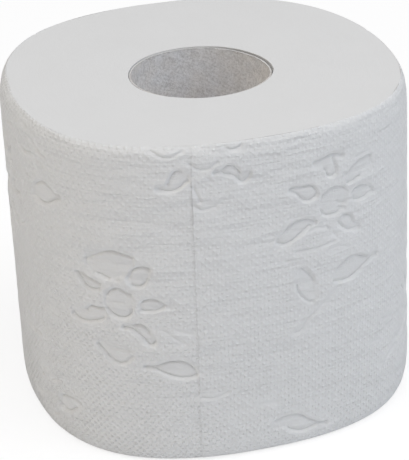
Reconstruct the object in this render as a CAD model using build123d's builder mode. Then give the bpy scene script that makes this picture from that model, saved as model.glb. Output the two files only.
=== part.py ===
"""A toilet paper roll: a web of embossed tissue wound on a recycled board core, standing on one end.

Millimetres, +Z up. The origin is on the core's axis, level with the end that the roll stands on.
The front, where the web's tail edge shows, faces -Y, with +X to its right. Angles run from +X,
counter-clockwise seen from above.
"""
import os
from math import cos, radians, sin, sqrt

from build123d import *

# The wound web: its mean outside, its width along the core, and one embossed sheet
roll_radius = 57.5
roll_height = 95.0
sheet_thickness = 0.4
tail_facing = -87.0

# Pressed in its pack, the roll is a rounded square: how far its corners stand out and its sides fall in,
# where its first corner points, and the angle that each flat side turns through
corner_swell = 1.6
corner_facing = -30.0
flat_turn = 30.0

# The winding is thicker at the back than at the front, so its middle lies off the core's axis
web_shift_x = -0.2
web_shift_y = 2.1

# Both end edges are soft: how far the skin draws in at an end face, over what height, and in how many bands
edge_inset = 2.1
edge_rise = 9.0
edge_bands = 2

# The core is flush at the foot and sits a little below the paper at the top
core_bore_radius = 18.9
core_wall = 0.5
core_recess = 0.25

# The first turns lie loose on the core, with a narrow spiral gap outside them from end to end
loose_half_turns = 2
loose_pitch = 0.9
gap_width = 0.25

# The embossing: flowers, each a round eye with petals about it, and single leaves between them
emboss_depth = 0.35
eye_diameter = 8.4
petal_count = 7
petal_length = 8.5
petal_width = 4.6
petal_gap = 2.2
leaf_length = 14.0
leaf_width = 5.8

# Where they lie: along the skin from the tail edge, and up. A leaf also has its tilt.
flowers = [(4, 93), (39, 73), (61, 28), (132, 62), (218, 38), (299, 67), (340, 49)]
leaves = [(29, 7, -10), (47, 51, 17), (318, 76, 15), (352, 29, -10)]

# The arcs of the rounded square. Each is centred on the line from the middle that its own mid-point lies on.
half_flat = radians(flat_turn / 2)
radius_step = 2 * corner_swell / (cos(half_flat) - 1 + (sqrt(2) - 1) * sin(half_flat))
flat_radius = roll_radius - corner_swell + radius_step * (cos(half_flat) - sin(half_flat))
corner_radius = flat_radius - radius_step
flat_centre = roll_radius - corner_swell - flat_radius
corner_centre = roll_radius + corner_swell - corner_radius
core_radius = core_bore_radius + core_wall

# The embossing's cutters reach past the deepest floor, that of a leaf across a corner at an end edge
cutter_reach = edge_inset + emboss_depth + max(petal_length, leaf_length) / 4


def towards(angle, distance):
    """The offset that lies at an angle and a distance."""
    return distance * cos(radians(angle)), distance * sin(radians(angle))


def skin_arc(facing, inset):
    """Centre and radius of the arc that holds the point of the skin with this facing.

    The second half of the last turn is drawn half a sheet smaller and moved back by as much. It starts level
    with the first half, opposite the tail edge, and ends one sheet below it.
    """
    beside_corner = (facing - corner_facing + 45) % 90 - 45
    corner = facing - beside_corner
    if abs(beside_corner) < 45 - flat_turn / 2:
        x, y = towards(corner, corner_centre)
        radius = corner_radius
    else:
        x, y = towards(corner + (45 if beside_corner > 0 else -45), flat_centre)
        radius = flat_radius
    if facing > tail_facing + 180:
        back_x, back_y = towards(tail_facing + 180, sheet_thickness / 2)
        x += back_x
        y += back_y
        radius -= sheet_thickness / 2
    return web_shift_x + x, web_shift_y + y, radius - inset


def skin_facings():
    """The facings where the arcs of the last turn begin and end, from the tail edge once round."""
    facings = {tail_facing, tail_facing + 180, tail_facing + 360}
    for quarter in range(4):
        for side in (-1, 1):
            joint = corner_facing + 90 * quarter + side * (45 - flat_turn / 2)
            facings.add(tail_facing + (joint - tail_facing) % 360)
    return sorted(facings)


def skin_arcs(inset):
    """Each arc of the last turn: its first and last facing, and its centre and radius."""
    facings = skin_facings()
    return [(first, last, skin_arc((first + last) / 2, inset)) for first, last in zip(facings, facings[1:])]


def on_arc(arc, facing):
    """The point of an arc with this facing."""
    x, y, radius = arc
    out_x, out_y = towards(facing, radius)
    return x + out_x, y + out_y


def edge_draw(depth):
    """How far the skin draws in at a depth below an end face: a quarter of an ellipse."""
    lift = 1 - depth / edge_rise
    return edge_inset * (1 - sqrt(1 - lift * lift))


def web_form(inset):
    """The whole web as one closed form, with its skin `inset` inside the real one."""
    depths = [edge_rise * (band / edge_bands) ** 2 for band in range(edge_bands + 1)]
    levels = [(depth, edge_draw(depth)) for depth in depths]
    levels += [(roll_height - depth, edge_draw(depth)) for depth in reversed(depths)]
    with BuildPart() as form:
        for height, draw in levels:
            with BuildSketch(Plane.XY.offset(height)):
                with BuildLine():
                    arcs = []
                    for first, last, arc in skin_arcs(inset + draw):
                        facings = first, (first + last) / 2, last
                        arcs.append(ThreePointArc(*[on_arc(arc, facing) for facing in facings]))
                    Line(arcs[-1] @ 1, arcs[0] @ 0)
                make_face()
        loft(ruled=True)
    return form.part


def side_plane(along, height, tilt=0):
    """The plane against the skin, `along` it from the tail edge. The tilt turns its X up from the right."""
    arcs = [(first, last, arc, radians(last - first) * arc[2]) for first, last, arc in skin_arcs(0)]
    along %= sum(length for first, last, arc, length in arcs)
    for first, last, arc, length in arcs:
        if along <= length:
            break
        along -= length
    facing = first + (last - first) * along / length
    right, up = towards(tilt, 1)
    x_dir = (*towards(facing + 90, right), up)
    return Plane((*on_arc(arc, facing), height), x_dir=x_dir, z_dir=(*towards(facing, 1), 0))


# Every petal and leaf: its place along the skin and up, its tilt, its length and its width
blades = [(along, height, tilt, leaf_length, leaf_width) for along, height, tilt in leaves]
for along, height in flowers:
    for petal in range(petal_count):
        tilt = 90 + 360 * petal / petal_count
        x, y = towards(tilt, (eye_diameter + petal_length) / 2 + petal_gap)
        blades.append((along + x, height + y, tilt, petal_length, petal_width))

web = web_form(0)
web_under_embossing = web_form(emboss_depth)

with BuildPart() as embossing:
    for along, height in flowers:
        with BuildSketch(side_plane(along, height)):
            Circle(eye_diameter / 2)
        extrude(amount=cutter_reach, both=True)
    for along, height, tilt, length, width in blades:
        with BuildSketch(side_plane(along, height, tilt)):
            with BuildLine():
                SagittaArc((-length / 2, 0), (length / 2, 0), width / 2)
                SagittaArc((length / 2, 0), (-length / 2, 0), width / 2)
            make_face()
        extrude(amount=cutter_reach, both=True)
    add(web_under_embossing, mode=Mode.SUBTRACT)

with BuildPart() as tissue_roll:
    add(web)
    Hole(core_radius)
    with BuildSketch():
        with BuildLine():
            inner_arcs = []
            outer_arcs = []
            for half_turn in range(loose_half_turns):
                side = half_turn % 2
                centre = (side * loose_pitch / 2, 0)
                radius = core_radius + loose_pitch * (1 + half_turn / 2)
                inner_arcs.append(CenterArc(centre, radius, 180 * side, 180))
                outer_arcs.append(CenterArc(centre, radius + gap_width, 180 * side, 180))
            Line(inner_arcs[0] @ 0, outer_arcs[0] @ 0)
            Line(inner_arcs[-1] @ 1, outer_arcs[-1] @ 1)
        make_face()
    extrude(amount=roll_height, mode=Mode.SUBTRACT)
    add(embossing.part, mode=Mode.SUBTRACT)
tissue_roll.part.label = "tissue_roll"

with BuildPart() as core_tube:
    with BuildSketch():
        Circle(core_radius)
        Circle(core_bore_radius, mode=Mode.SUBTRACT)
    extrude(amount=roll_height - core_recess)
core_tube.part.label = "core_tube"

os.makedirs("parts", exist_ok=True)
export_step(tissue_roll.part, "parts/tissue_roll.step")
export_step(core_tube.part, "parts/core_tube.step")
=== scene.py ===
"""A toilet paper roll: a web of embossed tissue wound on a recycled board core, standing on one end.

Metres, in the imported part's frame: +Z up, the core's axis at the origin, and the front, where the tail edge
shows, facing -Y. Sizes are written in millimetres. `along` is the way round the skin from the tail edge, to
the right seen from outside, and `height` is the way up.
"""

from math import cos, pi, radians, sin, tau

import bpy
from mathutils import Matrix, Vector


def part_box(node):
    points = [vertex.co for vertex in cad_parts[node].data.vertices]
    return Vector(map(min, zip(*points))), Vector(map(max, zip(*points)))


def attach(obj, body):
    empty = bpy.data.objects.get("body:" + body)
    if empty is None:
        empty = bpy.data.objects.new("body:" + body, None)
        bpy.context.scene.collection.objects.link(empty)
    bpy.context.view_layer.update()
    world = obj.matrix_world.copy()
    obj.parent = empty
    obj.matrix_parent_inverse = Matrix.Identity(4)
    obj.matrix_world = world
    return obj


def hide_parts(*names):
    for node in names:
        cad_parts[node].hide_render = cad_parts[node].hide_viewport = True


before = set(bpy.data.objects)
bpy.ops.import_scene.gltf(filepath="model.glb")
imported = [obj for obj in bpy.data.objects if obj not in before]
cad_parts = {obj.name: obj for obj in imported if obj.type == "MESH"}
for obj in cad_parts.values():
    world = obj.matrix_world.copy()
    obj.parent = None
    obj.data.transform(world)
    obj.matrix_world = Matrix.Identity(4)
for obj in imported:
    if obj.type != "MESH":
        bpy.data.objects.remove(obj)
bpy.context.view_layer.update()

mm = 0.001

# The camera, fitted to the roll's outline in the photograph
photo_height = 460
camera_elevation = 25.71
camera_distance = 690.9
camera_roll = -1.96
camera_focal_pixels = 2390.0
camera_aim = (-0.06, 2.4, 44.7)
camera_sensor = 36.0
camera_far = 20.0

# How steeply it looks down on the foot of the front, and how much less steeply on its top
sight_slope = 0.55
slope_falls = 0.15

# The web: its mean outside, its width along the core, and one embossed sheet
roll_radius = 57.5
roll_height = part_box("tissue_roll")[1].z / mm
tail_angle = -93.3
turn_length = tau * roll_radius

# How the pressed roll departs from a round one: times in a turn, how far, and where it first stands out
swells = {"Square": (4, 1.58, -30.0), "Egg": (3, 0.63, -10.6), "Oval": (2, 0.37, 39.2)}
web_shift = (-0.25, 2.4)

# The paper leans a little: its foot lies this far from its top, and is this much smaller
foot_shift = (1.25, 0.2)
foot_shrink = 0.010

# Both end edges are soft: how far each draws in, and how much further towards +X and towards +Y
top_inset = (1.93, -0.4, -0.83)
foot_inset = (2.2, 0.5, -1.5)
edge_rise = 9.5

# The front is flatter by this much. It starts where the skin faces the front by one share, and is in full
# where it does by a second share more.
front_flat = 0.4
front_from, front_reach = 0.15, 0.5

# There an end edge draws in less by as much: a share of it over a low crisp rim, and the rest as a slow lean
rim_share = 0.6
rim_rise = 5.0
lean_rise = 36.0

# An end edge follows this share of a quarter of a squared ellipse, so that its rim stays crisp
soft_share = 0.96
soft_power = 2.6
soft_depth = 1 - (1 - soft_share ** soft_power) ** (1 / soft_power)

# The core, pressed a little oval, with its rim bent in at one place and out at another
core_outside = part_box("core_tube")[1].x / mm
core_wall = 0.5
core_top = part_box("core_tube")[1].z / mm
core_oval, oval_facing = 0.3, 12.0
core_dent, dent_facing, dent_turn = 0.45, 47.0, 27.0
core_flare, flare_facing, flare_turn = 0.65, -12.0, 22.0
bend_reach = 5.0

# How far the first turn stands off the core, and how much further at both mouths: in the pointed corner where
# it starts, which opens slowly from one side and closes fast on the other, and in a soft bulge
inner_gap = 0.14
corner_gap, gap_facing, gap_opens, gap_closes = 1.0, 1.0, 62.0, 40.0
bulge_gap, bulge_facing, bulge_turn = 0.5, -145.0, 22.0
mouth_reach = 5.0

# The embossing's lines: how deep, how wide, how far a faint line hovers over the sheet that it presses, and
# how far all of them lie above the heights given. A wider, shallow dish lies about each.
groove_depth = 0.42
groove_width = 0.42
faint = 0.32
settle = -0.35
dish_depth, dish_width = 0.04, 2.4

# The left flank is embossed more firmly, by up to this share
firmer_left = 0.5

# Inside an outline the paper lies lower, with a soft edge, and the dots keep off it a little less
patch_depth = 0.47
patch_edge = 0.42
patch_clearance = 0.5

# The tail edge is a step. It stands up where it has come loose, between two heights, and a little elsewhere.
edge_step = 0.13
edge_lift, lift_reach = 0.16, 1.6
loose_from, loose_to = 71.0, 86.0
loose_power = 6.0
loose_elsewhere = 0.08

# The tail edge also strays along the skin in waves and slants from foot to top, which dies out beside it
stray_waves, stray_depth = 11.0, 0.5
edge_slant = 1.1
stray_reach = 5.0

# The long soft folds across the skin
fold_depth = 0.20
fold_width = 1.1

# The paper's unevenness, as how long its waves are and how far they go: the loose skin, the puckers beside
# the lines, the creases round the roll and the patches they come in, the first turn, and the top end face,
# whose rim is still over one part in so many of the way in
skin_waves, skin_depth = 26.0, 0.16
pucker_waves, pucker_depth = 5.0, 0.06
crease_waves, crease_depth = 19.0, 0.32
crease_stretch = 4.5
crease_patches, crease_share = 30.0, 0.75
bore_waves, bore_depth = 22.0, 0.08
top_waves, top_depth = 30.0, 0.12
top_still = 6.0
same_height = 0.1

# Each line of a motif runs through its points, from the middle of the motif's eye. The faint lines are barely
# pressed in, and each pair of lines among the patches encloses paper that lies lower.
broad_flower = [
    (-3.3, 2.6, -2.3, 3.6, -0.5, 4.4, 1, 4.1, 2.2, 3.2, 3.5, 2.9),
    (-3.6, -2.1, -2.5, -3.2, 0.7, -4.3, 3.2, -2.9, 3.6, -1.6),
    (-9.3, 11.8, -1.1, 15.5, 1.2, 15, 4.7, 13.9), (-5.3, 8, -2.7, 7.2), (-0.7, 7.1, 0.3, 7),
    (3.1, 7.8, 4.8, 10.7, 7.9, 11.4, 9.1, 10.8), (4.2, 5.8, 6.5, 5.7, 7.5, 6.5, 8, 7.6),
    (6.5, 1, 7.7, 1.6, 10.7, 1.4, 12.6, 0.1), (6.2, -1.4, 7.4, -1.7, 11.5, -0.9, 12.6, 0.1),
    (4.1, -6.3, 5.4, -6, 6.6, -6.5, 8, -8.2),
    (0.9, -7.2, 2.7, -7.3, 6.7, -10.5, 7.7, -11.8, 8.5, -12, 9.5, -11.2),
    (-7.3, -13.6, -6.3, -14.8, -1.3, -18.5, 0.1, -18.3, 2.9, -16.1),
    (-10.1, -3.6, -9.2, -2.7, -7.8, -2.3, -6.3, -2.5, -4.8, -2.2),
    (-15.3, -6.4, -13.9, -7.3, -10.3, -7.4, -8.3, -6.8, -6.3, -6.2, -5, -5.4),
    (-12.8, 6.9, -11.3, 6.9, -9.5, 6.3, -5.3, 4.9),
    (-12.3, 6.4, -11.1, 4.8, -10.1, 3.6, -7.1, 3, -5.8, 3.4),
]
broad_flower_faint = [
    (-9.3, 11.6, -1.5, 12.4, -0.3, 11.6), (-2.8, 0.1, 1.2, 0.2), (-4.3, -13.6, 0.7, -14.4, 2.7, -14.4),
]
broad_flower_patches = [(0, 1), (2, 3), (5, 6), (7, 8), (9, 10), (11, 11), (12, 13), (14, 15)]
slim_flower = [
    (-3.5, 2.3, -2.1, 3.3, 0.5, 4.1, 3.5, 3.1), (-4, -1.8, -3.1, -3.1, 0.7, -3.6, 2, -3.1),
    (1.3, -0.4, 2.7, -1.2, 3.7, -1.4), (1.5, -2, 3.5, -2.9), (7.3, 1.7, 8.9, 2, 13.1, 0.5, 14.2, -1.1),
    (6.9, -1.3, 8, -1.7, 11, -1.7, 12.7, -1.2, 14.2, -1.1), (5, 6.7, 6, 8, 11.9, 9.9, 13, 9.7),
    (4.7, 4.3, 5.9, 4.1, 8.9, 4.9), (3.5, 7, 4.3, 6.7, 4.9, 7),
    (-2.4, 10.1, -1.1, 7.7, 0.9, 8.1, 1, 9.6, 0.1, 12.7), (-5.8, 12.6, -3.8, 13, -0.1, 13.9, 3.2, 12.7),
    (-13.1, 6.3, -11.7, 6.6, -9.8, 6.4, -6.5, 6, -5.3, 4.5),
    (-13.1, 6, -11.5, 5, -8.5, 2.3, -5.9, 2.7, -5.1, 3.7),
    (-14.4, -5.1, -11.8, -3.5, -6.8, -3.8, -5.7, -4.7),
    (-17.3, -8.3, -15.1, -9.2, -10.3, -7.2, -9, -6.2, -7.6, -5.4),
    (-11.8, -12.2, -9.8, -12.2, -7.8, -12.4, -0.3, -11.7), (1.3, -6.5, 4.7, -9.6, 8.2, -10),
    (3.2, -5.3, 4.3, -5.1, 6.1, -6.6, 6.3, -7.5), (-2.7, -6.6, -2.1, -7.1, -1.6, -8.1),
]
slim_flower_faint = [
    (-7.8, -6.9, -6, -6.3, -3.1, -6.8), (-2, -13.7, 0.2, -13.4, 2, -13.7, 3.7, -14.5),
    (-15, -14.4, -10.8, -14.8), (-19.5, -8, -18.3, -7.4, -17, -7.7), (-1, -8.3, 0.5, -10.5),
    (7.5, 11.1, 12.2, 11.5),
]
slim_flower_patches = [(0, 1), (4, 5), (6, 7), (10, 9), (11, 12), (13, 14), (17, 16)]
leaf = [
    (-6.5, 1, -4, 1.2, 0, 2.5, 4, 2.4, 5.7, 1.5, 7, 0.2), (-4, 0.5, 2, -2.1, 6, -2.2, 7.6, -1.5),
]
leaf_patches = [(0, 1)]


def on_front(along, height):
    """Where a line's point lies on the flattened front, so that the camera sees it in its place."""
    facing = radians(tail_angle) + along / roll_radius
    front = min(max((-sin(facing) - front_from) / front_reach, 0), 1)
    if not front:
        return along, height
    further_in = front_flat * front
    for inset, from_end in ((foot_inset, height), (top_inset, roll_height - height)):
        full = inset[0] + inset[1] * cos(facing) + inset[2] * sin(facing)
        lean = max(1 - max(from_end, 0) / lean_rise, 0)
        further_in += (full - front_flat) * (1 - rim_share) * front * lean
    further_back = further_in / -sin(facing)
    slope = sight_slope - slope_falls * height / roll_height
    return along + further_back * cos(facing), height - further_back * slope


def lines_at(motif, along, height, lift=0.0):
    """A motif's lines, moved to their place along the skin and up."""
    moved = []
    for line in motif:
        places = [on_front(along + x, height + y) for x, y in zip(line[::2], line[1::2])]
        moved.append([(x, y, lift) for x, y in places])
    return moved


# The lines that lie between the flowers, along the skin from the front and up
front_along = radians(-90 - tail_angle) * roll_radius
front_lines = [
    (37.8, 53, 42, 55.4, 45, 55, 46.5, 54.2, 48.3, 53.4),
    (36.5, 49.7, 38, 49.2, 42.2, 49.2, 47.5, 51.5, 51, 52.8, 52.3, 52.8),
    (-53.6, 77.7, -49.1, 79.7, -45.1, 78.6, -43.6, 77.9, -41.6, 77.7),
    (-54.8, 73.9, -50, 73.4, -46.8, 74.4, -45.2, 75.4, -41.6, 77.2),
    (17.3, 10.3, 20.5, 11.2, 24.5, 11, 29, 8, 31.8, 6.6, 33.3, 6.4),
    (21.1, 7.7, 22.3, 6.8, 25.5, 5.7, 30.5, 6.6), (26.6, 55.9, 29.7, 52.6, 30.2, 51.4),
    (25.1, 51, 25.4, 49.3, 28.4, 45.6, 29.8, 45.2), (-48.5, 14.1, -46.9, 14.8, -40.9, 15.1, -39.7, 14.5),
    (-49.3, 10.6, -46.4, 10.1, -43.7, 11.4, -42.4, 12.6), (-9.6, 85.5, -7.3, 89.1, -6.3, 89.1),
    (-12, 84.5, -9.3, 83.7, -6.4, 84.5, -5.2, 85.7, -4.2, 86.4),
    (5.2, 88.8, 7.3, 89.6, 9.3, 88.3, 9.9, 87.2),
    (3, 87.9, 4.4, 88, 5.8, 87.4, 8.6, 86.4, 10.3, 84.6, 11.2, 84.6, 12.8, 86.7),
    (-13.5, 95, -9.5, 93.2, -5.5, 94.6), (5.8, 95, 8.2, 94.1, 9.7, 94.3, 10.8, 94.9),
    (-3.8, 91.2, -1.7, 89.7, 1.5, 89.6, 4, 91.1), (-2.9, 84.6, -1.2, 80.3),
    (-3, 79.3, -1, 77.9, 1.8, 78.3, 3.2, 78.3),
    (23.8, 36.9, 25.2, 37.1, 26.4, 38, 27.2, 39.4, 28.3, 40.6, 30, 41.6),
    (54, 32.4, 55.4, 31.5, 59, 30.9), (56.3, 29, 57.5, 28.4, 59.5, 28.7),
    (53.2, 17.8, 55, 17.7, 56.5, 18.3, 60, 19.6, 62.5, 20.1), (65.5, 30.3, 68.6, 28.7),
    (62, 32.8, 63.5, 32.4), (63.6, 8.6, 64.4, 7.6), (-53.5, 90.8, -49, 88, -47.3, 87.9),
    (-62, 86.3, -58.5, 85.7, -56.5, 86.1, -54.6, 86.4), (-73, 88.9, -67.5, 89.5),
    (-65.5, 61.2, -63.2, 62.3), (-60, 93.6, -56, 93.2), (-62.2, 29.4, -57.5, 29.8),
    (-61, 16.9, -59.5, 16.4, -58, 16.5), (-52.8, 17.6, -51.2, 17.9),
    (-56.5, 6, -54.5, 5.9, -52.4, 6.5, -51, 7.4), (-2.8, 21.4, 0.5, 20.9, 4.5, 22.4),
]
front_lines_faint = [
    (0.8, 79.3, 3.8, 79.1, 5, 79.9), (49, 26.1, 53, 25.9), (12.8, 16.8, 15, 17, 18.3, 16.5),
    (-66, 9.6, -64, 9.3, -62, 9.5, -60.3, 10.1), (-67, 29.2, -64.5, 29.3, -62.8, 29.9),
    (-58.8, 18.5, -55.8, 20.2), (56.3, 42.6, 58, 40.7, 60, 40.9), (64.6, 22.1, 66.4, 21.9),
    (63.6, 16.8, 63.8, 14.8), (1, 86.9, 1.7, 86.5), (30, 41.6, 38, 47.9), (-53.5, 83.4, -52, 82.8),
    (-9, 42.4, -6, 41.3, -4.5, 41), (-13, 42.7, -11.5, 41.7, -9.8, 40.2, -8, 39, -7.2, 38.2),
]
front_patches = [(0, 1), (2, 3), (4, 5), (6, 7), (8, 9), (10, 11), (12, 13)]

# The long soft folds, drawn in the same way
fold_lines = [
    (-36, 74.8, -2, 73.6), (5, 74.2, 26, 73.6, 57, 74.4), (-30, 88.1, -20, 87.5, -14, 87.9),
    (12, 63.2, 17, 62.8, 22, 63), (-1, 34.9, 20, 33.4, 32, 34, 42, 36.9), (30, 30.1, 40, 28.5, 52, 29.9),
    (30, 37.9, 38, 38.8, 46, 40.9), (-62, 41.9, -56, 41, -50, 41.7), (20, 21.5, 30, 19, 38, 20),
    (-46, 60.3, -42, 58.8, -39, 59.5), (13, 84.5, 20, 85.6, 28, 85.1), (-20, 22.5, -12, 21.3, -4, 21.7),
    (63.8, 71.4, 66.6, 75.3, 70, 77.6), (-62.8, 80.6, -61.6, 78.7, -61.2, 76.7),
    (-64.5, 72.8, -63, 71.5, -60.5, 70.8), (-70, 20.3, -66.5, 18.8), (-51, 27.1, -49, 25.5, -46, 24.9),
    (100, 60.3, 120, 57.3, 140, 60.3), (160, 34.4, 186, 31.4, 204, 34.4),
    (120, 24.5, 140, 22.5, 150, 24.5), (190, 62.2, 214, 60.2, 236, 64.2),
    (230, 40.4, 252, 42.4, 268, 39.4), (90, 72.2, 108, 74.2, 128, 72.2),
    (150, 82.1, 172, 80.1, 196, 83.1),
]

folds = lines_at(fold_lines, front_along, 0)
lines = []
patches = []
for motif, faint_motif, pairs, places in [
    (front_lines, front_lines_faint, front_patches, [(front_along, 0)]),
    (broad_flower, broad_flower_faint, broad_flower_patches, [(340.1, 49.9), (132, 62), (285, 70)]),
    (slim_flower, slim_flower_faint, slim_flower_patches, [(40.2, 73.5), (218, 38), (84, 30)]),
    (leaf, [], leaf_patches, [(353.0, 30.1), (104, 84), (168, 20), (182, 72), (250, 78), (262, 16)]),
]:
    for along, height in places:
        drawn = lines_at(motif, along, height + settle)
        lines += drawn + lines_at(faint_motif, along, height + settle, faint)
        patches += [drawn[first] + (drawn[last][::-1] if last != first else []) for first, last in pairs]

# The cuts between one sheet and the next, as dashes
perforations = [120.0, 240.0]
cut_length = 3.2
cut_pitch = 4.2
cut_lift = 0.25
for along in perforations:
    for cut in range(int(roll_height / cut_pitch) + 1):
        low = cut * cut_pitch
        lines.append([(along, low, cut_lift), (along, low + cut_length, cut_lift)])

# What crosses the tail edge, or comes this close to it, goes on at the other end of the turn
seam_reach = 3.0
for drawn in (lines, patches, folds):
    for line in list(drawn):
        reach = [x for x, y, z in line]
        if min(reach) < seam_reach:
            drawn.append([(x + turn_length, y, z) for x, y, z in line])
        if max(reach) > turn_length - seam_reach:
            drawn.append([(x - turn_length, y, z) for x, y, z in line])


# Node trees


class Wire:
    """The value that one node gives. A sum, a product or a power of it adds a Math node."""

    def __init__(self, nodes, socket):
        self.nodes = nodes
        self.socket = socket

    def math(self, operation, *values):
        return self.nodes.make("ShaderNodeMath", {"operation": operation}, values)

    def __add__(self, other):
        return self.math("ADD", self, other)

    def __sub__(self, other):
        return self.math("SUBTRACT", self, other)

    def __rsub__(self, other):
        return self.math("SUBTRACT", other, self)

    def __mul__(self, other):
        return self.math("MULTIPLY", self, other)

    def __truediv__(self, other):
        return self.math("DIVIDE", self, other)

    def __rtruediv__(self, other):
        return self.math("DIVIDE", other, self)

    def __pow__(self, other):
        return self.math("POWER", self, other)

    def __rpow__(self, other):
        return self.math("POWER", other, self)

    __radd__ = __add__
    __rmul__ = __mul__

    def of(self, function):
        """A one-sided function of it, such as SINE or ABSOLUTE."""
        return self.math(function, self)

    def least(self, other):
        return self.math("MINIMUM", self, other)

    def most(self, other):
        return self.math("MAXIMUM", self, other)

    def fading(self):
        """1 where the value is nothing, dying out as it grows."""
        return (0.0 - self).of("EXPONENT")

    def bell(self, width):
        """1 where the value is nothing, dying out on both sides over a width."""
        ratio = self / width
        return (ratio * ratio).fading()


class Nodes:
    """A node tree, and the one way to add a node to it."""

    def __init__(self, tree):
        self.tree = tree
        self.inputs = None

    def make(self, kind, settings=None, values=(), output=0):
        """A new node of a kind, with its settings and the values or wires of its inputs."""
        node = self.tree.nodes.new(kind)
        for name, setting in (settings or {}).items():
            setattr(node, name, setting)
        for key, value in values.items() if isinstance(values, dict) else enumerate(values):
            if isinstance(value, Wire):
                self.tree.links.new(value.socket, node.inputs[key])
            else:
                node.inputs[key].default_value = value
        return Wire(self, node.outputs[output]) if node.outputs else node

    def ask(self, name, kind="NodeSocketFloat"):
        """A named input of the tree."""
        self.tree.interface.new_socket(name=name, in_out="INPUT", socket_type=kind)
        if self.inputs is None:
            self.inputs = self.tree.nodes.new("NodeGroupInput")
        return Wire(self, self.inputs.outputs[name])

    def parts(self, vector):
        """The X, Y and Z of a vector."""
        split = self.make("ShaderNodeSeparateXYZ", None, [vector]).socket.node
        return [Wire(self, split.outputs[axis]) for axis in range(3)]

    def join(self, x, y, z):
        return self.make("ShaderNodeCombineXYZ", None, [x, y, z])

    def noise(self, vector, scale, detail=2.0, roughness=0.5):
        """Noise about 0, from -1 to 1."""
        values = {"Vector": vector, "Scale": scale, "Detail": detail, "Roughness": roughness}
        return self.make("ShaderNodeTexNoise", None, values, "Fac") * 2.0 - 1.0

    def turned(self, angle, facing):
        """How far an angle is turned past one in degrees, from half a turn short to half a turn beyond."""
        return self.make("ShaderNodeMath", {"operation": "WRAP"}, [angle - radians(facing), pi, -pi])

    def mix(self, factor, first, second, blend="MIX"):
        """A mix of two colours."""
        settings = {"data_type": "RGBA", "blend_type": blend}
        return self.make("ShaderNodeMix", settings, {0: factor, 6: first, 7: second}, 2)

    def bump(self, relief):
        """The normal of a relief in millimetres."""
        values = {"Strength": 1.0, "Distance": mm, "Height": relief}
        return self.make("ShaderNodeBump", None, values, "Normal")

    def seen(self):
        """1 for what the camera sees, also in a mirror or through glass, and 0 for the light that falls."""
        rays = self.make("ShaderNodeLightPath").socket.node
        kinds = ("Camera", "Glossy", "Transmission")
        camera_ray, glossy_ray, passed_ray = (Wire(self, rays.outputs["Is %s Ray" % kind]) for kind in kinds)
        return camera_ray.most(glossy_ray).most(passed_ray)

    def drawing(self, curves):
        """The curves of a drawing, given as an object."""
        return self.make("GeometryNodeObjectInfo", None, {"Object": curves}, "Geometry")

    def from_lines(self, curves, place):
        """How far a place is from the curves of a drawing."""
        drawn = self.make("GeometryNodeCurveToMesh", None, [self.drawing(curves)])
        return self.distance("EDGES", drawn, place)

    def from_areas(self, curves, place):
        """How far a place is from the areas inside the curves of a drawing."""
        values = {"Curve": self.drawing(curves), "Group ID": self.make("GeometryNodeInputIndex")}
        return self.distance("FACES", self.make("GeometryNodeFillCurve", None, values), place)

    def distance(self, element, drawn, place):
        values = {0: drawn, "Sample Position": place}
        return self.make("GeometryNodeProximity", {"target_element": element}, values, "Distance")

    def store(self, geometry, name, kind, value):
        """Writes a value of a kind to the geometry's points."""
        settings = {"data_type": kind, "domain": "POINT"}
        values = {"Geometry": geometry, "Name": name, "Value": value}
        return self.make("GeometryNodeStoreNamedAttribute", settings, values)

    def end(self, geometry, material):
        """Closes a geometry tree on one plain mesh with its material."""
        realized = self.make("GeometryNodeRealizeInstances", None, [geometry])
        finished = self.make("GeometryNodeSetMaterial", None, {"Geometry": realized, "Material": material})
        self.tree.interface.new_socket(name="Geometry", in_out="OUTPUT", socket_type="NodeSocketGeometry")
        self.make("NodeGroupOutput", None, [finished])


def evaluated(blank, name, tree, inputs):
    """The plain mesh object that a geometry tree makes of a blank, which goes."""
    modifier = blank.modifiers.new("shape", "NODES")
    modifier.node_group = tree
    for item in tree.interface.items_tree:
        if item.in_out == "INPUT" and item.name in inputs:
            modifier[item.identifier] = inputs[item.name]
    bpy.context.view_layer.update()
    graph = bpy.context.evaluated_depsgraph_get()
    mesh = bpy.data.meshes.new_from_object(blank.evaluated_get(graph), depsgraph=graph)
    mesh.name = name
    piece = bpy.data.objects.new(name, mesh)
    bpy.context.scene.collection.objects.link(piece)
    blank.modifiers.remove(modifier)
    bpy.data.objects.remove(blank)
    return piece


# The tissue, unrolled: a slab as long as one turn, with its skin at depth 0

# The skin's lattice: how many base cells along and up, how many fine steps the side of a base cell has, and
# that of a smaller cell, and how close to a line the cells are parted. Lines are followed in short samples.
base_columns = 154
base_rows = 40
splits = 8
fine_step = 4
line_reach = 0.7
line_sample = 0.4
curve_steps = 8

# Where the end faces have their rows, from the skin, and the wall against the core its own, from an end
end_rows = [0.8, 1.8, 3.5, 6, 9, 12, 15, 18, 21, 24, 27, 30, 33, 35, 36.2, 37, 37.5, 37.8, 38]
wall_rows = [0.3, 0.8, 1.6, 3, 5, 8, 13, 20]


def line_curve(name, drawn, closed):
    """Embossed lines, or the outlines of what lies lower, as smooth curves on the unrolled skin."""
    curve = bpy.data.curves.new(name, "CURVE")
    curve.dimensions = "3D"
    curve.resolution_u = curve_steps
    for line in drawn:
        spline = curve.splines.new("BEZIER")
        spline.use_cyclic_u = closed
        spline.bezier_points.add(len(line) - 1)
        for point, (x, y, z) in zip(spline.bezier_points, line):
            point.co = (x * mm, y * mm, z * mm)
            point.handle_left_type = point.handle_right_type = "AUTO"
    drawing = bpy.data.objects.new(name, curve)
    bpy.context.scene.collection.objects.link(drawing)
    return drawing


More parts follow.
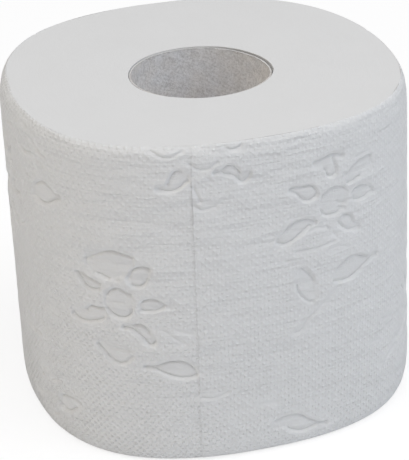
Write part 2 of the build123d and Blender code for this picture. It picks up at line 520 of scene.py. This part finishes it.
def cells_near(drawing):
    """The cells, a few fine steps wide, that an embossed line passes through or close by."""
    bpy.context.view_layer.update()
    graph = bpy.context.evaluated_depsgraph_get()
    drawn = bpy.data.meshes.new_from_object(drawing.evaluated_get(graph))
    columns, rows = base_columns * splits // fine_step, base_rows * splits // fine_step
    width, rise = turn_length / columns, roll_height / rows
    cells = set()
    for edge in drawn.edges:
        first, last = (drawn.vertices[v].co / mm for v in edge.vertices)
        steps = int((last - first).length / line_sample) + 1
        for step in range(steps + 1):
            x, y, z = first.lerp(last, step / steps)
            for right in (-line_reach, 0, line_reach):
                for up in (-line_reach, 0, line_reach):
                    cells.add((int((x + right) // width), int((y + up) // rise)))
    bpy.data.meshes.remove(drawn)

    # So are the cells beside the tail edge and along both ends
    for row in range(rows):
        cells.update([(0, row), (1, row), (columns - 1, row)])
    for column in range(columns):
        cells.update([(column, 0), (column, rows - 1)])
    return {cell for cell in cells if 0 <= cell[0] < columns and 0 <= cell[1] < rows}


def web_slab(fine_cells):
    """The unrolled web as one closed form, whose skin is finely divided where it is embossed."""
    points = []
    faces = []
    found = {}
    columns = base_columns * splits
    rows = base_rows * splits

    # Cells of three sizes: base cells, base cells parted in cells, and those parted in fine steps
    cells = []
    across = splits // fine_step
    for column in range(base_columns):
        for row in range(base_rows):
            inner = [(column * across + x, row * across + y) for x in range(across) for y in range(across)]
            if not fine_cells.intersection(inner):
                cells.append((column * splits, row * splits, splits))
                continue
            for x, y in inner:
                left, low = x * fine_step, y * fine_step
                if (x, y) in fine_cells:
                    cells += [(left + i, low + j, 1) for i in range(fine_step) for j in range(fine_step)]
                else:
                    cells.append((left, low, fine_step))
    for x, y, size in cells:
        for column, row in ((x, y), (x + size, y), (x + size, y + size), (x, y + size)):
            if (column, row) not in found:
                found[column, row] = len(points)
                points.append((turn_length * column / columns, roll_height * row / rows, 0.0))

    def run(first, last):
        """The skin's points that are in use from one place to another, the last left out."""
        (x, y), (to_x, to_y) = first, last
        steps = max(abs(to_x - x), abs(to_y - y))
        step_x, step_y = (to_x - x) // steps, (to_y - y) // steps
        keys = [(x + step_x * step, y + step_y * step) for step in range(steps)]
        return [found[key] for key in keys if key in found]

    for x, y, size in cells:
        right, up = x + size, y + size
        corners = [(x, y), (right, y), (right, up), (x, up), (x, y)]
        faces.append([v for first, last in zip(corners, corners[1:]) for v in run(first, last)])

    # The face of the tail edge, between the two ends of the turn
    for row in range(base_rows):
        low, high = row * splits, (row + 1) * splits
        start = run((0, low), (0, high)) + [found[0, high]]
        faces.append(start + run((columns, high), (columns, low)) + [found[columns, low]])

    def row_at(level, depth):
        """A row of points once round, at a height and a depth."""
        start = len(points)
        for column in range(base_columns):
            points.append((turn_length * column / base_columns, level, -depth))
        return range(start, len(points))

    # Both end faces, from the skin in to the core, and the wall against the core
    wall_depth = roll_radius - core_outside
    rings = []
    for level in (rows, 0):
        rim_height = roll_height * level / rows
        last_ring = None
        for depth in end_rows + [wall_depth]:
            ring = row_at(rim_height, depth)
            for column in range(base_columns):
                beyond = (column + 1) % base_columns
                if last_ring is None:
                    x = column * splits
                    outer = run((x, level), (x + splits, level)) + [found[x + splits, level]]
                    face = outer + [ring[beyond], ring[column]]
                else:
                    face = [last_ring[column], last_ring[beyond], ring[beyond], ring[column]]
                faces.append(face if level else face[::-1])
            if last_ring is None:
                step = [found[columns, level], found[0, level], ring[0]]
                faces.append(step if level else step[::-1])
            last_ring = ring
        rings.append(last_ring)
    levels = [roll_height - from_end for from_end in wall_rows] + wall_rows[::-1]
    walls = [rings[0]] + [row_at(level, wall_depth) for level in levels] + [rings[1]]
    for upper, lower in zip(walls, walls[1:]):
        for column in range(base_columns):
            beyond = (column + 1) % base_columns
            faces.append([upper[column], upper[beyond], lower[beyond], lower[column]])

    mesh = bpy.data.meshes.new("tissue_slab")
    mesh.from_pydata([(x * mm, y * mm, z * mm) for x, y, z in points], [], faces)
    mesh.update()
    unrolled = bpy.data.objects.new("tissue_slab", mesh)
    bpy.context.scene.collection.objects.link(unrolled)
    return unrolled


def winding_tree(material):
    """The tree that presses the lines into the unrolled web and winds it round the core."""
    nodes = Nodes(bpy.data.node_groups.new("wind_tissue", "GeometryNodeTree"))
    geometry = nodes.ask("Geometry", "NodeSocketGeometry")
    line_curves = nodes.ask("Lines", "NodeSocketObject")
    outline_curves = nodes.ask("Outlines", "NodeSocketObject")
    fold_curves = nodes.ask("Folds", "NodeSocketObject")
    radius = nodes.ask("Roll Radius")
    high = nodes.ask("Roll Height")
    bore = nodes.ask("Bore Radius")
    step = nodes.ask("Edge Step")
    lift = nodes.ask("Edge Lift")
    tail = nodes.ask("Tail Angle")
    groove = nodes.ask("Groove Depth")
    groove_span = nodes.ask("Groove Width")
    fold = nodes.ask("Fold Depth")
    fold_span = nodes.ask("Fold Width")
    patch = nodes.ask("Patch Depth")
    rise = nodes.ask("Edge Rise")

    place = nodes.make("GeometryNodeInputPosition")
    along, height, inward = nodes.parts(place)
    depth = 0.0 - inward
    share = depth / (radius - bore)
    to_edge = along.least(radius * tau - along)
    stray = nodes.noise(nodes.join(0.0, 0.0, height), 1 / (stray_waves * mm), 1.0) * (stray_depth * mm)
    stray = stray + (height / high - 0.5) * (edge_slant * mm)
    even_angle = tail + (along + stray * (to_edge / (stray_reach * mm)).fading()) / radius
    outline, bend, tail_bend = radius, 0.0, 0.0
    for name in swells:
        times = nodes.ask(name + " Times")
        swell = nodes.ask(name + " Swell")
        facing = nodes.ask(name + " Angle")
        outline = outline + swell * ((even_angle - facing) * times).of("COSINE")
        bend = ((even_angle - facing) * times).of("SINE") * swell / (radius * times) + bend
        tail_bend = ((tail - facing) * times).of("SINE") * swell / (radius * times) + tail_bend
    angle = even_angle - bend + tail_bend
    out_x, out_y = angle.of("COSINE"), angle.of("SINE")
    around = nodes.join(out_x * radius, out_y * radius, height)

    away = nodes.from_lines(line_curves, place)
    press = away.bell(groove_span)
    near = away.bell(dish_width * mm)
    outside = nodes.from_areas(outline_curves, place)
    sunk = outside.bell(patch_edge * mm)
    from_fold = nodes.from_lines(fold_curves, place)

    # The turn is lower at its end than at its start, and the edge stands up where it is loose
    skin = outline + step * (0.5 - along / (radius * tau))
    loose_middle, loose_half = (loose_from + loose_to) / 2, (loose_to - loose_from) / 2
    loose = ((height / mm - loose_middle) / loose_half) ** loose_power
    loose = loose.fading() + loose_elsewhere
    skin = skin + lift * loose * (along / (lift_reach * mm)).fading()

    def rounded(over, from_end):
        """How far a soft edge of some height has drawn in: 1 at its end, and 0 above it."""
        shoulder = ((over - from_end) / over).most(0.0) * soft_share
        return (1.0 - (1.0 - shoulder ** soft_power) ** (1 / soft_power)) / soft_depth

    # The end edges draw in, at the front by a crisp rim and a slow lean
    front = ((out_y + front_from) / -front_reach).least(1.0).most(0.0)
    skin = skin - front * (front_flat * mm)
    for end, from_end in (("Foot", height), ("Top", high - height)):
        inset = nodes.ask(end + " Inset")
        inset = inset + nodes.ask(end + " Inset X") * out_x + nodes.ask(end + " Inset Y") * out_y
        leaning = ((lean_rise * mm - from_end) / (lean_rise * mm)).most(0.0)
        leaning = rounded(rim_rise * mm, from_end) * rim_share + leaning * (1 - rim_share)
        skin = skin - inset * rounded(rise, from_end) * (1.0 - front)
        skin = skin - (inset - front_flat * mm) * leaning * front

    # The embossed lines, the soft dish about them, and the paper's own unevenness
    slack = nodes.noise(around, 1 / (skin_waves * mm), 1.0) * (skin_depth * mm)
    crease = nodes.noise(around, 1 / (pucker_waves * mm), 2.0) * near * (pucker_depth * mm)
    flat = nodes.join(out_x * radius, out_y * radius, height * crease_stretch)
    where = nodes.noise(around, 1 / (crease_patches * mm), 0.0) + crease_share
    crease = crease + nodes.noise(flat, 1 / (crease_waves * mm), 2.0, 0.45) * where * (crease_depth * mm)
    crease = crease - from_fold.bell(fold_span) * fold
    firmly = (1.0 - out_x * firmer_left).most(1.0)
    skin = skin - (groove * press + patch * sunk) * firmly - near * (dish_depth * mm) + slack + crease

    # The first turn hugs the core's oval, and stands off it at both mouths
    past = nodes.turned(angle, gap_facing)
    corner = (1.0 + past / radians(gap_opens)).least(1.0 - past / radians(gap_closes)).most(0.0)
    bulge = nodes.turned(angle, bulge_facing).bell(radians(bulge_turn))
    inside = (height.least(high - height) / (mouth_reach * mm)).fading()
    mouth = corner * (corner_gap * mm) + bulge * (bulge_gap * mm)
    snug = nodes.noise(around, 1 / (bore_waves * mm), 1.0) * (bore_depth * mm)
    oval = (nodes.turned(angle, oval_facing) * 2.0).of("COSINE") * (core_oval * mm)
    inner = bore + oval + inner_gap * mm + mouth * inside + snug
    reach = skin + (inner - skin) * share

    low_share = 1.0 - height / high
    lean = 1.0 - share
    reach = reach * (1.0 - low_share * lean * foot_shrink)
    x = out_x * reach + lean * (web_shift[0] * mm + low_share * (foot_shift[0] * mm))
    y = out_y * reach + lean * (web_shift[1] * mm + low_share * (foot_shift[1] * mm))

    # The top end face waves a little, but not at its rim
    level = nodes.noise(nodes.join(x, y, height), 1 / (top_waves * mm), 1.0) * (top_depth * mm)
    level = level * (share * top_still).least(1.0)
    z = height + level * height.math("COMPARE", height, high, same_height * mm)

    # The material's dots keep off the lines, and a little less off the sunk patches
    marked = nodes.store(geometry, "sheet_place", "FLOAT_VECTOR", place)
    marked = nodes.store(marked, "line_distance", "FLOAT", away.least(outside + patch_clearance * mm))
    wound = nodes.make("GeometryNodeSetPosition", None, {"Geometry": marked, "Position": nodes.join(x, y, z)})
    nodes.end(wound, material)
    return nodes.tree


# Materials


def new_material(name):
    """A new material, the way to write its tree, and its surface shader."""
    made = bpy.data.materials.new(name)
    made.use_nodes = True
    tree = made.node_tree
    shader = tree.nodes["Principled BSDF"]
    return made, Nodes(tree), shader


def feed(nodes, shader, **values):
    """Gives the surface shader its values and wires."""
    for name, value in values.items():
        socket = shader.inputs[name.replace("_", " ")]
        if isinstance(value, Wire):
            nodes.tree.links.new(value.socket, socket)
        else:
            socket.default_value = value


# The tissue's raised dots: how far apart, how far out of step, how large the patches of fuller dots are, how
# far a line keeps them off, and how much fuller they are towards the foot and the left
dot_pitch = 2.13
dot_stray, dot_stray_waves = 0.7, 3.0
dot_patches = 8.0
dot_clearance = 1.3
fuller_low, fuller_left = 1.6, 1.5

# How far the tissue's relief goes: dots, fibres, fine wrinkles, soft waves, and the turns on its cut ends
dot_relief, fibre_relief = 0.125, 0.05
wrinkle_relief, wave_relief = 0.20, 0.65
ring_relief = 0.03

# How large these are: fibres, rings, soft waves and fine wrinkles along and up, and the clouds in the shade
fibre_size = 0.55
ring_size = 0.5
wave_length, wave_height = 15.0, 4.0
wrinkle_length, wrinkle_height = 6.0, 1.1
cloud_size = 14.0

# The tissue's colours: a darker one in its darker clouds and between the dots, a lighter one in its lighter
# clouds and on the raised dots as painted light, and painted shade deep in the gap beside the core
paper_dim_cloud_and_pit_shade = (0.80, 0.80, 0.793, 1)
paper_bright_cloud_and_dot_highlight = (0.84, 0.84, 0.835, 1)
painted_gap_shade = (0.26, 0.25, 0.24, 1)


def tissue_finish():
    """Soft white tissue with a fine raised dot grain, fibres, and faint turns on its cut ends."""
    made, nodes, shader = new_material("embossed_tissue")
    place = nodes.make("ShaderNodeAttribute", {"attribute_name": "sheet_place"}, (), "Vector")
    away = nodes.make("ShaderNodeAttribute", {"attribute_name": "line_distance"}, (), "Fac")
    spot = nodes.make("ShaderNodeTexCoord", None, (), "Object")
    along, height, inward = nodes.parts(place)
    on_skin = ((inward / mm) * 4.0 + 1.0).most(0.0)

    period = dot_pitch * mm
    jitter = nodes.noise(spot, 1 / (dot_stray_waves * mm), 1.0) * dot_stray
    across = along * (tau / period) + jitter
    upward = height * (tau / period) - jitter * 0.6
    dots = across.of("COSINE") * upward.of("COSINE")
    dots = (dots * 1.2 - 0.15).least(1.0).most(0.0)
    clear = 1.0 - away.bell(dot_clearance * mm)
    x, y, z = nodes.parts(spot)
    patchy = (nodes.noise(spot, 1 / (dot_patches * mm), 2.0) * 0.45 + 0.95).most(0.25)
    low_share = 1.0 - height / (roll_height * mm)
    left_share = (x / (roll_radius * -mm)).most(0.0)
    fuller = 1.0 + low_share * low_share * fuller_low + left_share * left_share * fuller_left
    dots = dots * on_skin * clear * patchy * fuller

    def waving(length, rise, turn, detail):
        """Noise with waves of a size along the skin, up it and through the turns."""
        spread = nodes.join(along / (length * mm), height / (rise * mm), inward / (turn * mm))
        return nodes.noise(spread, 1.0, detail)

    fibres = nodes.noise(spot, 1 / (fibre_size * mm), 3.0, 0.6)
    rings = nodes.noise(nodes.join(inward / (ring_size * mm), along / (40 * mm), height / (2 * mm)), 1.0, 2.0)
    rings = rings * (1.0 - on_skin)
    waves = waving(wave_length, wave_height, 6, 1.0)
    wrinkles = waving(wrinkle_length, wrinkle_height, 6, 2.0)
    creased = (wrinkles * wrinkle_relief + waves * wave_relief) * on_skin
    relief = dots * dot_relief + fibres * fibre_relief + creased + rings * ring_relief

    cloud = nodes.noise(spot, 1 / (cloud_size * mm), 2.0) * 0.5 + 0.5
    # The clouds vary the tissue's tone at random; the raised dots are made lighter in colour, a painted
    # highlight on each dot
    paper = nodes.mix(cloud * 0.6 + dots * 0.9, paper_dim_cloud_and_pit_shade, paper_bright_cloud_and_dot_highlight)

    # Painted shade: the paper deep in the gap between the first turn and the core is darker in colour, as
    # little light gets in there
    turned = y.math("ARCTAN2", y, x)
    beside_core = (1.0 - (inward / mm + (roll_radius - core_outside)) * 4.0).most(0.0)
    under_rim = 1.0 - ((height / mm - roll_height) * 2.5).of("EXPONENT")
    in_gap = nodes.turned(turned, dent_facing).bell(radians(dent_turn + 10))
    paper = nodes.mix(beside_core * under_rim * in_gap * 0.75, paper, painted_gap_shade)
    rough = 0.93 + fibres * 0.03
    feed(nodes, shader, Base_Color=paper, Roughness=rough, Normal=nodes.bump(relief), Specular_IOR_Level=0.25)
    return made


# The board's shade between and on its fibres, on its cut edge, and the tints of its warmer and cooler side
board_dark = (0.69, 0.68, 0.665, 1)
board_light = (0.97, 0.965, 0.955, 1)
board_cut = (0.46, 0.45, 0.43, 1)
board_warm = (1.0, 0.965, 0.935, 1)
board_cool = (0.955, 0.965, 1.0, 1)
cool_facing = 95.0

# How wide and long its streaks of fibre are, how far they climb and run in a radian, how large its mottling and
# specks are, and how far the relief of each goes
streak_width, streak_length = 0.9, 9.0
streak_climb, streak_run = 9.0, 20.0
mottle_size, speck_size = 3.2, 0.7
streak_relief, speck_relief, mottle_relief = 0.05, 0.08, 0.04
cut_edge_rise = 0.2


def board_finish():
    """Grey recycled board, mottled, with fibres that run round it on a slant."""
    made, nodes, shader = new_material("core_board")
    spot = nodes.make("ShaderNodeTexCoord", None, (), "Object")
    x, y, z = nodes.parts(spot)
    angle = y.math("ARCTAN2", y, x)
    slant = (angle * (streak_run * mm) + z * 0.9) / (streak_length * mm)
    across = (z - angle * (streak_climb * mm)) / (streak_width * mm)
    streaks = nodes.noise(nodes.join(across, slant, 0.0), 1.0, 3.0, 0.6)
    mottle = nodes.noise(spot, 1 / (mottle_size * mm), 3.0, 0.6)
    specks = nodes.noise(spot, 1 / (speck_size * mm), 2.0, 0.7)
    tone = mottle * 0.45 + streaks * 0.55 + specks * 1.3 + 0.62
    board = nodes.mix(tone, board_dark, board_light)
    hue = nodes.turned(angle, cool_facing).of("COSINE") * 0.6
    hue = hue + nodes.noise(spot, 1 / (5 * mm), 1.0) * 0.5 + 0.2
    board = nodes.mix(1.0, board, nodes.mix(hue, board_warm, board_cool), "MULTIPLY")
    cut_edge = ((z - core_top * mm) / (cut_edge_rise * mm)).least(0.0).of("EXPONENT")
    board = nodes.mix(cut_edge * 0.8, board, board_cut)
    rough = 0.9 + mottle * 0.05
    relief = streaks * streak_relief + specks * speck_relief + mottle * mottle_relief
    feed(nodes, shader, Base_Color=board, Roughness=rough, Normal=nodes.bump(relief), Specular_IOR_Level=0.3)
    return made


# The core: how many steps its tube has round and up, and how uneven its wall and its cut edge are

core_steps = 192
core_levels = 48
board_waves, board_depth = 18.0, 0.05
rough_waves, rough_depth = 2.5, 0.10
rough_reach = 2.0


def core_tree(material):
    """The tree that winds the board into a tube and leaves its cut edges a little rough."""
    nodes = Nodes(bpy.data.node_groups.new("wind_core", "GeometryNodeTree"))
    radius = nodes.ask("Outside Radius")
    wall = nodes.ask("Wall")
    high = nodes.ask("Height")
    steps = nodes.ask("Steps", "NodeSocketInt")
    levels = nodes.ask("Levels", "NodeSocketInt")
    values = {"Resolution": steps, "Radius": radius - wall * 0.5}
    circle = nodes.make("GeometryNodeCurvePrimitiveCircle", None, values)
    section = nodes.make("GeometryNodeCurvePrimitiveQuadrilateral", None, {"Width": wall, "Height": high})
    section = nodes.make("GeometryNodeSubdivideCurve", None, {"Curve": section, "Cuts": levels})
    tube = nodes.make("GeometryNodeCurveToMesh", None, {"Curve": circle, "Profile Curve": section})
    place = nodes.make("GeometryNodeInputPosition")
    x, y, z = nodes.parts(place)
    height = z + high * 0.5
    reach = (x * x + y * y).of("SQRT")
    angle = x.math("ARCTAN2", y, x)
    out = nodes.noise(place, 1 / (board_waves * mm), 1.0) * (board_depth * mm)
    out = out + (nodes.turned(angle, oval_facing) * 2.0).of("COSINE") * (core_oval * mm)
    near_top = ((height - high) / (bend_reach * mm)).of("EXPONENT")
    for facing, turn, bend in ((dent_facing, dent_turn, -core_dent), (flare_facing, flare_turn, core_flare)):
        out = out + nodes.turned(angle, facing).bell(radians(turn)) * near_top * (bend * mm)
    rough = nodes.noise(nodes.join(x, y, 0.0), 1 / (rough_waves * mm), 2.0) * (rough_depth * mm)
    at_cut = ((height - high) / (rough_reach * mm)).of("EXPONENT")
    scale = 1.0 + out / reach
    shaped = nodes.join(x * scale, y * scale, height - at_cut * (rough + rough_depth * mm))
    tube = nodes.make("GeometryNodeSetPosition", None, {"Geometry": tube, "Position": shaped})
    nodes.end(tube, material)
    return nodes.tree


# The two pieces

line_art = line_curve("lines", lines, False)
outline_art = line_curve("outlines", patches, True)
fold_art = line_curve("folds", folds, False)
slab = web_slab(cells_near(line_art))
sizes = {
    "Lines": line_art, "Outlines": outline_art, "Folds": fold_art,
    "Roll Radius": roll_radius * mm, "Roll Height": roll_height * mm,
    "Bore Radius": core_outside * mm, "Tail Angle": radians(tail_angle),
    "Edge Step": edge_step * mm, "Edge Lift": edge_lift * mm,
    "Groove Depth": groove_depth * mm, "Groove Width": groove_width * mm, "Patch Depth": patch_depth * mm,
    "Edge Rise": edge_rise * mm, "Fold Depth": fold_depth * mm, "Fold Width": fold_width * mm,
}
for end, insets in (("Foot", foot_inset), ("Top", top_inset)):
    for way, inset in zip((" Inset", " Inset X", " Inset Y"), insets):
        sizes[end + way] = inset * mm
for name, (times, swell, facing) in swells.items():
    sizes[name + " Times"] = float(times)
    sizes[name + " Swell"] = swell * mm
    sizes[name + " Angle"] = radians(facing)
tissue_web = evaluated(slab, "tissue_web", winding_tree(tissue_finish()), sizes)
for drawing in (line_art, outline_art, fold_art):
    bpy.data.objects.remove(drawing)

core_blank = bpy.data.objects.new("core_blank", bpy.data.meshes.new("core_blank"))
bpy.context.scene.collection.objects.link(core_blank)
sizes = {
    "Outside Radius": core_outside * mm, "Wall": core_wall * mm, "Height": core_top * mm,
    "Steps": core_steps, "Levels": core_levels,
}
core_board = evaluated(core_blank, "core_board", core_tree(board_finish()), sizes)

# An edge that turns by more than this is crisp
crisp_turn = 38.0
for piece in (tissue_web, core_board):
    piece.data.shade_smooth()
    piece.data.set_sharp_from_angle(angle=radians(crisp_turn))

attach(tissue_web, "root")
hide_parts("tissue_roll")
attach(core_board, "root")
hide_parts("core_tube")

# The floor, the light and the camera

floor_half = 4.0
floor_drop = 0.2
floor_pale = (0.93, 0.94, 0.96, 1)
floor_shade = (0.28, 0.28, 0.28, 1)
floor_glow = 0.78
dome_color = (0.975, 0.965, 1, 1)
dome_strength = 0.298
white = (1, 1, 1, 1)


def floor():
    """A pale floor just below the roll, which the camera sees as white but for the roll's own shadow."""
    mesh = bpy.data.meshes.new("floor")
    half, low = floor_half, -floor_drop * mm
    corners = [(-half, -half, low), (half, -half, low), (half, half, low), (-half, half, low)]
    mesh.from_pydata(corners, [], [(0, 1, 2, 3)])
    ground = bpy.data.objects.new("floor", mesh)
    bpy.context.scene.collection.objects.link(ground)
    made = bpy.data.materials.new("floor_white")
    made.use_nodes = True
    made.node_tree.nodes.clear()
    nodes = Nodes(made.node_tree)
    pale = nodes.make("ShaderNodeBsdfDiffuse", None, {"Color": floor_pale})
    shade = nodes.make("ShaderNodeBsdfDiffuse", None, {"Color": floor_shade})
    glow = nodes.make("ShaderNodeEmission", None, {"Color": white, "Strength": floor_glow})
    bright = nodes.make("ShaderNodeAddShader", None, [shade, glow])
    surface = nodes.make("ShaderNodeMixShader", None, [nodes.seen(), pale, bright])
    nodes.make("ShaderNodeOutputMaterial", None, {"Surface": surface})
    mesh.materials.append(made)
    return ground


def world_light():
    """An even pale dome, which the camera sees as white."""
    world = bpy.data.worlds.new("studio")
    bpy.context.scene.world = world
    world.use_nodes = True
    world.node_tree.nodes.clear()
    nodes = Nodes(world.node_tree)
    dome = nodes.make("ShaderNodeBackground", None, {"Color": dome_color, "Strength": dome_strength})
    plain = nodes.make("ShaderNodeBackground", None, {"Color": white, "Strength": 1.0})
    surface = nodes.make("ShaderNodeMixShader", None, [nodes.seen(), dome, plain])
    nodes.make("ShaderNodeOutputWorld", None, {"Surface": surface})


def lamp(name, place, aim, width, length, power, color):
    """A soft lamp, turned to a point."""
    light = bpy.data.lights.new(name, "AREA")
    light.shape = "RECTANGLE"
    light.size = width
    light.size_y = length
    light.energy = power
    light.color = color
    stand = bpy.data.objects.new(name, light)
    stand.location = place
    stand.rotation_euler = (Vector(aim) - Vector(place)).to_track_quat("-Z", "Y").to_euler()
    bpy.context.scene.collection.objects.link(stand)


def camera():
    """The photograph's camera."""
    lens = bpy.data.cameras.new("camera")
    lens.sensor_width = camera_sensor
    lens.lens = camera_focal_pixels * camera_sensor / photo_height
    lens.clip_end = camera_far
    rise = radians(camera_elevation)
    aim = Vector(camera_aim) * mm
    back = Vector((0, -cos(rise), sin(rise)))
    eye = bpy.data.objects.new("camera", lens)
    turned = Matrix.Rotation(pi / 2 - rise, 4, "X") @ Matrix.Rotation(radians(camera_roll), 4, "Z")
    eye.matrix_world = Matrix.Translation(aim + back * (camera_distance * mm)) @ turned
    bpy.context.scene.collection.objects.link(eye)
    bpy.context.scene.camera = eye


floor()
world_light()
roll_middle = (0, 0, 0.05)
lamp("overhead", (0.1, -0.4, 1.5), roll_middle, 2.4, 1.0, 15.2, (1.0, 1.0, 1.0))
lamp("left_fill", (-1.2, -0.5, 0.6), roll_middle, 0.8, 0.8, 1.75, (1.0, 0.82, 0.48))
lamp("right_fill", (1.2, -0.5, 0.8), roll_middle, 0.8, 0.8, 2.9, (0.72, 0.86, 1.0))
camera()

view = bpy.context.scene.view_settings
view.view_transform = "Standard"
